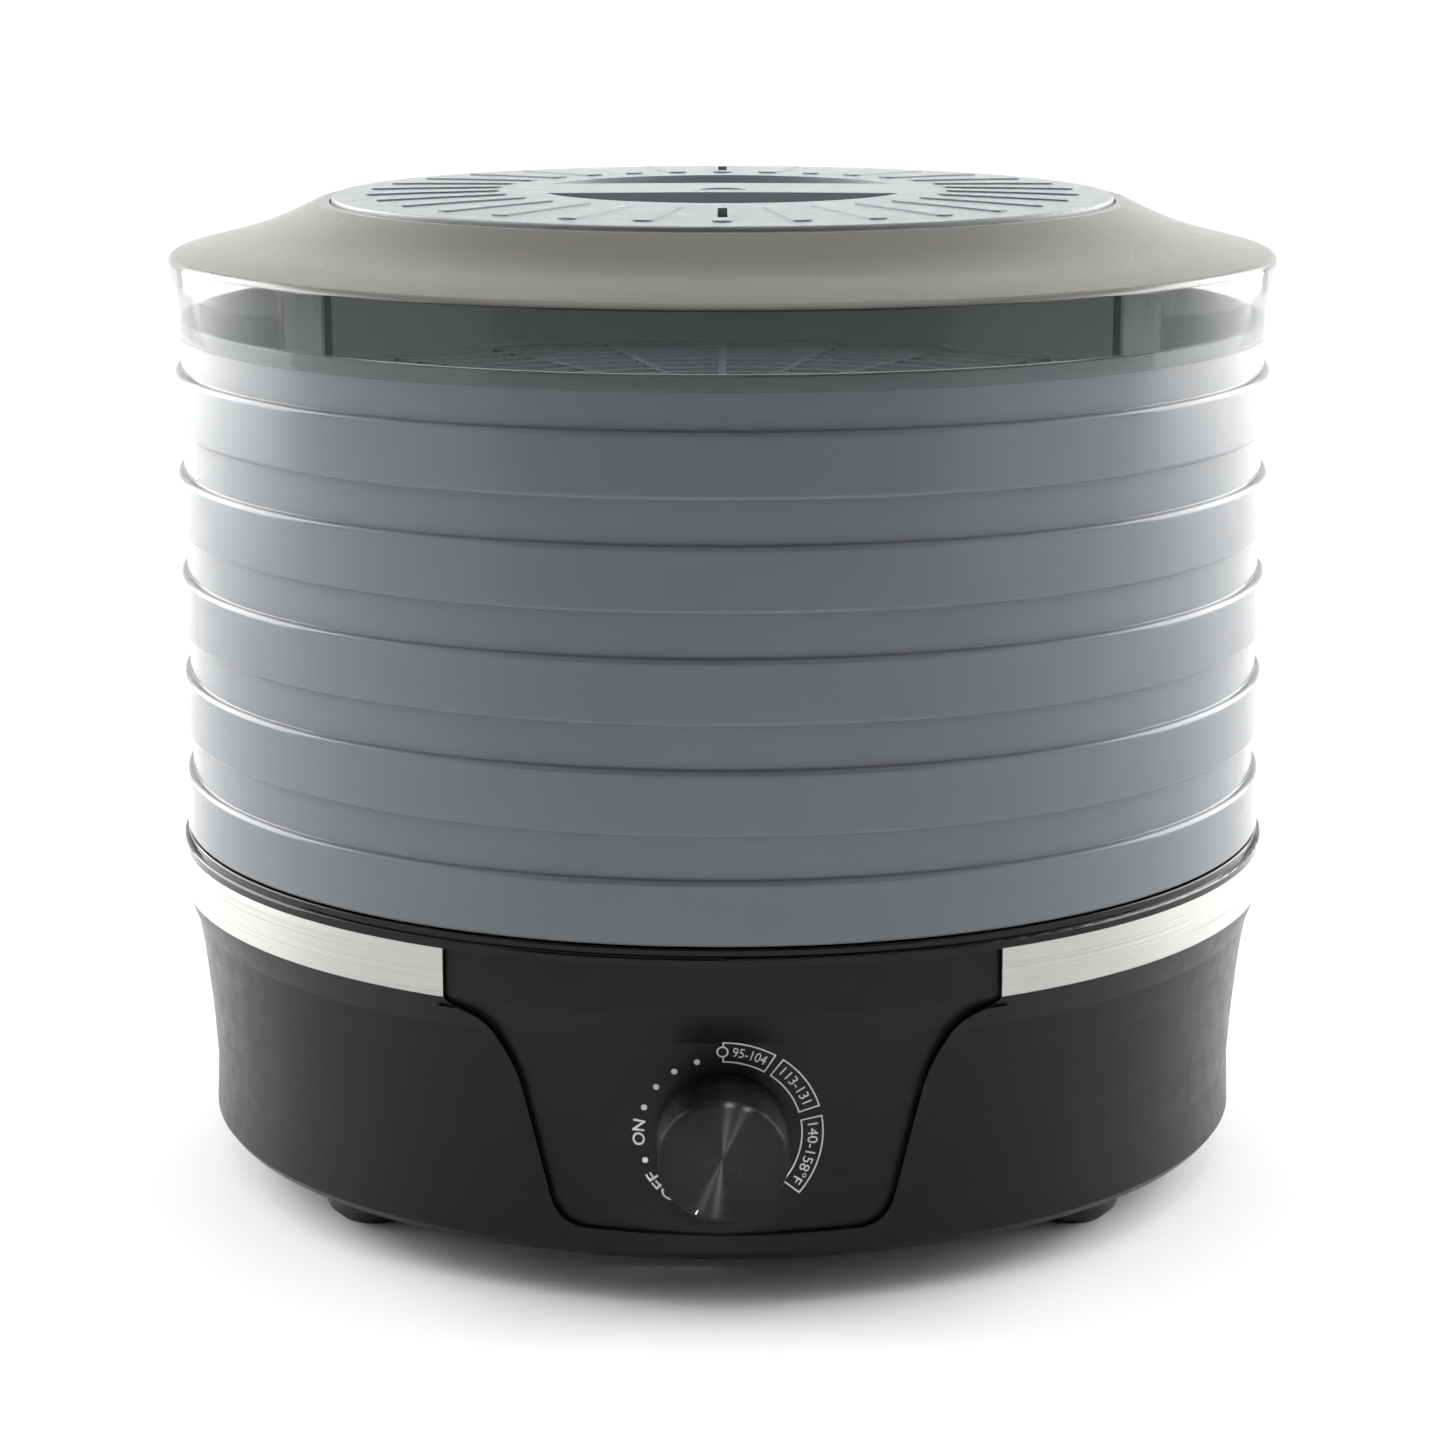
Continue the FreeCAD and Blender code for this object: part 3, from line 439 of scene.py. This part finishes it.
def make_tabs():
    """Standing tabs inside the skirt, each with painted shade as near-black strips along its two edges, and two
    short pins from the top.

    Widths round the skirt are in degrees. TAB_WIDTH is the whole tab, and each HALF is half a block.
    """
    inner = LID_RADIUS - SKIRT_WALL - TAB_DEPTH
    outer = LID_RADIUS - SKIRT_WALL + TAB_OVERLAP
    half = TAB_WIDTH / 2

    def part(name, start, end, near, far, bottom, material, steps):
        piece = bent_block(name, near, far, start, end, bottom, TAB_TOP, material, "lid", steps)

    for index in range(TAB_COUNT):
        middle = 45 + 360 / TAB_COUNT * index
        inward = 1 if index % 2 else -1
        number = index + 1
        part(f"lid_tab_{number}", middle - half, middle + half, inner, outer, TAB_BOTTOM, tab_clear, 6)
        # Painted shade: near-black strips at the tab's two edges, the wider one on the side that faces the middle
        # of the front or back.
        thick = middle - inward * (half + 0.25)
        thin = middle + inward * (half + 0.08)
        part(f"lid_tab_{number}_painted_shade_wide", thick - WIDE_SHADE_HALF, thick + WIDE_SHADE_HALF, inner, outer,
             TAB_BOTTOM, painted_shade_edge, 1)
        part(f"lid_tab_{number}_painted_shade_thin", thin - THIN_SHADE_HALF, thin + THIN_SHADE_HALF, inner, outer,
             TAB_BOTTOM, painted_shade_edge, 1)
        for side, word in ((-1, "left"), (1, "right")):
            pin = middle + side * PIN_OFFSET
            part(f"lid_pin_{number}_{word}", pin - PIN_HALF, pin + PIN_HALF, inner - 1.2, inner - 0.1,
                 PIN_BOTTOM, lid_clear, 1)


make_lid()
make_tabs()


# Dial print on the control panel ----------------------------------------------------------------

control = joints["knob_turn"]
INWARD = Vector(control["axis"]).normalized()
ACROSS = Vector((1, 0, 0))
UPWARD = ACROSS.cross(INWARD)
CENTRE = Vector(control["pos_m"])
INK = 0.06 * MM
LIFT = 0.01 * MM
RING_CENTRE = 21.8
RING_INNER = 1.1
RING_OUTER = 1.45
DOT_CIRCLE = 20
DOT_RADIUS = 0.75
DOT_ANGLES = (-17.8, -35.2, -52.6, -70.6, -111)
BOX_INNER = 19.0
BOX_OUTER = 24.4
BOX_LINE = 0.35
BOX_SPANS = (("low", 0, 32), ("middle", 36.4, 74), ("high", 79.7, 130.5))
CAP_HEIGHT = 0.7


def surface_of(node):
    mesh = nodes[node].data
    points = [vertex.co.copy() for vertex in mesh.vertices]
    return BVHTree.FromPolygons(points, [tuple(polygon.vertices) for polygon in mesh.polygons])


panel_surface = surface_of("control_panel")
knob_surface = surface_of("knob_cap")


def on_face(surface, across, up):
    """Point on the outer face of a surface, from dial coordinates in mm."""
    plane = CENTRE + ACROSS * across * MM + UPWARD * up * MM
    hit = surface.ray_cast(plane - INWARD * 30 * MM, INWARD)[0]
    return tuple((hit or plane) - INWARD * LIFT)


def clock(radius, degrees):
    """Dial coordinates at an angle clockwise from 12 o'clock."""
    return radius * math.sin(math.radians(degrees)), radius * math.cos(math.radians(degrees))


def ink(name, flat, faces, surface=panel_surface, body="base"):
    """A printed patch, laid on the panel or knob from (across, up) points."""
    points = [on_face(surface, across, up) for across, up in flat]
    return thickened(name, points, faces, -INWARD, INK, [print_ink], body)


def strip(inner, outer, start, end, steps):
    """Flat band between two radii. A full turn joins its last face to its first."""
    flat = []
    for step in range(steps if end - start == 360 else steps + 1):
        angle = start + (end - start) * step / steps
        flat += [clock(inner, angle), clock(outer, angle)]
    count = len(flat)
    return flat, [(2 * s, 2 * s + 1, (2 * s + 3) % count, (2 * s + 2) % count) for s in range(steps)]


def make_dots():
    """Dots left of the top, and the open ring that the heat ranges start from."""
    sides = 24
    for number, angle in enumerate(DOT_ANGLES):
        across, up = clock(DOT_CIRCLE, angle)
        rim = [clock(DOT_RADIUS, 360 / sides * step) for step in range(sides)]
        flat = [(across + x, up + y) for x, y in rim]
        ink(f"print_dot_{number + 1}", flat, [tuple(range(sides))])
    across, up = clock(RING_CENTRE, 0)
    rim, faces = strip(RING_INNER, RING_OUTER, 0, 360, 32)
    ink("print_start_ring", [(across + x, up + y) for x, y in rim], faces)


def make_boxes():
    """Outlined arc for each heat range. The first starts at the ring, which breaks its edge."""
    low = BOX_INNER + BOX_LINE
    high = BOX_OUTER - BOX_LINE
    width = math.degrees(BOX_LINE / ((BOX_INNER + BOX_OUTER) / 2))
    for name, start, end in BOX_SPANS:
        ink(f"print_box_{name}_inner", *strip(BOX_INNER, low, start, end, 24))
        ink(f"print_box_{name}_outer", *strip(high, BOX_OUTER, start, end, 24))
        ink(f"print_box_{name}_last", *strip(low, high, end - width, end, 1))
        if start:
            ink(f"print_box_{name}_first", *strip(low, high, start, start + width, 1))
        else:
            ink("print_box_low_stub_inner", *strip(low, RING_CENTRE - RING_OUTER, 0, width, 1))
            ink("print_box_low_stub_outer", *strip(RING_CENTRE + RING_OUTER, high, 0, width, 1))


def make_words():
    """Generic settings bent round the dial, tops outward, each spread over its span in degrees."""
    words = [("off", "OFF", -145.5, -120.5, 20.1, 2.9, 0.055),
             ("on", "ON", -99.5, -80.5, 20.1, 2.9, 0.055),
             ("low", "95-104", 6.5, 28.5, 21.7, 2.5, 0.0),
             ("middle", "113-131", 41, 69, 21.7, 2.5, 0.0),
             ("high", "140-158°F", 84, 126.5, 21.7, 2.5, 0.0)]
    for name, body, start, end, radius, height, weight in words:
        curve = bpy.data.curves.new(f"text_{name}", "FONT")
        curve.body = body
        curve.align_x = "CENTER"
        curve.align_y = "CENTER"
        curve.size = height / CAP_HEIGHT
        curve.offset = weight
        curve.resolution_u = 4
        holder = bpy.data.objects.new(f"text_{name}", curve)
        bpy.context.scene.collection.objects.link(holder)
        bpy.context.view_layer.update()
        mesh = bpy.data.meshes.new_from_object(holder)
        left = min(vertex.co.x for vertex in mesh.vertices)
        width = max(vertex.co.x for vertex in mesh.vertices) - left
        flat = [clock(radius + vertex.co.y, start + (end - start) * (vertex.co.x - left) / width)
                for vertex in mesh.vertices]
        ink(f"print_{name}", flat, [tuple(polygon.vertices) for polygon in mesh.polygons])
        bpy.data.objects.remove(holder)


def make_pointer():
    """Small pointer mark on the knob's face, near its rim."""
    flat, faces = strip(13.5, 14.7, -155, -153.6, 1)
    ink("knob_pointer", flat, faces, knob_surface, "knob")


make_dots()
make_boxes()
make_words()
make_pointer()


# Floor, light and camera, in metres -------------------------------------------------------------

WORLD_LEVEL = 0.62
KNOB_RADIUS = 16.2 * MM
KNOB_DEPTH = 16.5 * MM
BEAM_SHARE = 0.76
FLAT_RADIUS = 2.6
COVE_RADIUS = 1.6
WALL_TOP = 4.0
FLAG_HALF_WIDTH = 1.5
FLAG_Y = -1.5
FLAG_TOP = 2.3
CAMERA_LENS = 93.05
CAMERA_DISTANCE = 0.9947
CAMERA_HEIGHT = 0.3341
CAMERA_PITCH = 12.472


def make_floor():
    """Pale floor that curves up into a backdrop on every side, so that no view has a horizon."""
    segments = 96
    cove_steps = 16
    outline = [(0.0, 0.0), (FLAT_RADIUS, 0.0)]
    for step in range(1, cove_steps + 1):
        angle = math.pi / 2 * step / cove_steps
        outline.append((FLAT_RADIUS + COVE_RADIUS * math.sin(angle),
                        COVE_RADIUS - COVE_RADIUS * math.cos(angle)))
    outline.append((FLAT_RADIUS + COVE_RADIUS, WALL_TOP))
    points = [(0, 0, 0)]
    for radius, height in outline[1:]:
        points += [(radius * math.cos(TURN * s / segments), radius * math.sin(TURN * s / segments), height)
                   for s in range(segments)]
    faces = [(0, 1 + s, 1 + (s + 1) % segments) for s in range(segments)]
    for level in range(len(outline) - 2):
        start = 1 + level * segments
        for s in range(segments):
            after = (s + 1) % segments
            faces.append((start + s, start + segments + s, start + segments + after, start + after))
    mesh = bpy.data.meshes.new("floor")
    mesh.from_pydata(points, [], faces)
    mesh.polygons.foreach_set("use_smooth", [True] * len(mesh.polygons))
    floor = bpy.data.objects.new("floor", mesh)
    bpy.context.scene.collection.objects.link(floor)
    paint = coated("floor_white", (0.94, 0.94, 0.94), 0.9, 60.0, mottle=0.005, strength=0.02, specular=0.1)
    mesh.materials.append(paint.material)


def make_world():
    """Studio surround: bright at the sides, behind and above, darker where the camera stands."""
    world = bpy.data.worlds.new("studio")
    bpy.context.scene.world = world
    world.use_nodes = True
    tree = world.node_tree
    background = tree.nodes["Background"]
    place = tree.nodes.new("ShaderNodeTexCoord")
    split = tree.nodes.new("ShaderNodeSeparateXYZ")
    tree.links.new(place.outputs["Generated"], split.inputs["Vector"])
    bright = tree.nodes.new("ShaderNodeMapRange")
    bright.interpolation_type = "SMOOTHSTEP"
    bright.inputs["From Min"].default_value = -0.80
    bright.inputs["From Max"].default_value = -0.10
    bright.inputs["To Min"].default_value = 0.04
    bright.inputs["To Max"].default_value = 1.0
    tree.links.new(split.outputs["Y"], bright.inputs["Value"])
    scale = tree.nodes.new("ShaderNodeMath")
    scale.operation = "MULTIPLY"
    scale.inputs[1].default_value = WORLD_LEVEL
    tree.links.new(bright.outputs["Result"], scale.inputs[0])
    tree.links.new(scale.outputs["Value"], background.inputs["Strength"])
    background.inputs["Color"].default_value = (1, 1, 1, 1)


def make_flag():
    """Black card in front of the object that keeps its front dark. The camera doesn't see it."""
    corners = [(-FLAG_HALF_WIDTH, FLAG_Y, 0.02), (FLAG_HALF_WIDTH, FLAG_Y, 0.02),
               (FLAG_HALF_WIDTH, FLAG_Y, FLAG_TOP), (-FLAG_HALF_WIDTH, FLAG_Y, FLAG_TOP)]
    mesh = bpy.data.meshes.new("flag")
    mesh.from_pydata(corners, [], [(0, 1, 2, 3)])
    flag = bpy.data.objects.new("flag", mesh)
    bpy.context.scene.collection.objects.link(flag)
    mesh.materials.append(coated("flag_black", (0.01, 0.01, 0.01), 0.9, 60.0, specular=0.0).material)
    flag.visible_camera = False


def make_softbox(name, place, target, width, height, power):
    light = bpy.data.lights.new(name, "AREA")
    light.shape = "RECTANGLE"
    light.size = width
    light.size_y = height
    light.energy = power
    holder = bpy.data.objects.new(name, light)
    bpy.context.scene.collection.objects.link(holder)
    holder.location = place
    holder.rotation_euler = (Vector(target) - Vector(place)).to_track_quat("-Z", "Y").to_euler()
    holder.visible_camera = False


def make_snoot(name, place, power):
    """Narrow beam on the knob's face, which picks out its turned rings."""
    light = bpy.data.lights.new(name, "SPOT")
    light.energy = power
    light.shadow_soft_size = 0.012
    holder = bpy.data.objects.new(name, light)
    bpy.context.scene.collection.objects.link(holder)
    target = CENTRE - INWARD * KNOB_DEPTH
    holder.location = place
    light.spot_size = 2 * math.atan(BEAM_SHARE * KNOB_RADIUS / (Vector(place) - target).length)
    light.spot_blend = 0.25
    holder.rotation_euler = (target - Vector(place)).to_track_quat("-Z", "Y").to_euler()


def make_camera():
    """Camera at the photograph's height, distance and tilt, with no shift or depth of field."""
    data = bpy.data.cameras.new("camera")
    data.sensor_width = 36.0
    data.lens = CAMERA_LENS
    camera = bpy.data.objects.new("camera", data)
    bpy.context.scene.collection.objects.link(camera)
    camera.location = (0, -CAMERA_DISTANCE, CAMERA_HEIGHT)
    camera.rotation_euler = (math.radians(90 - CAMERA_PITCH), 0, 0)
    bpy.context.scene.camera = camera


bpy.context.scene.view_settings.view_transform = "Standard"

make_floor()
make_world()
for side, name in ((-1, "left"), (1, "right")):
    make_softbox(f"softbox_{name}", (side * 1.9, 1.05, 0.8), (0, 0, 0.15), 2.0, 1.8, 80)
    make_softbox(f"fill_{name}", (side * 2.3, 0.1, 2.0), (0, 0, 0.15), 1.8, 1.0, 9)
make_softbox("softbox_top", (0, 0.1, 2.5), (0, 0.1, 0), 2.4, 1.4, 13)
make_softbox("backdrop_wash", (0, 1.2, 2.6), (0, 4.2, 0.7), 3.2, 0.8, 38)
make_softbox("front_wash", (0, -1.7, 2.4), (0, -4.2, 0.3), 3.2, 0.8, 62)
make_softbox("front_floor_wash", (0, -2.9, 2.6), (0, -2.9, 0), 3.6, 1.6, 32)
make_softbox("lid_glow", (0, 0, 0.2405), (0, 0.001, 0.1), 0.19, 0.19, 0.17)
make_snoot("snoot_left", (0.10, -1.05, 0.45), 90)
make_snoot("snoot_right", (0.36, -0.98, 0.42), 70)
make_flag()
make_camera()
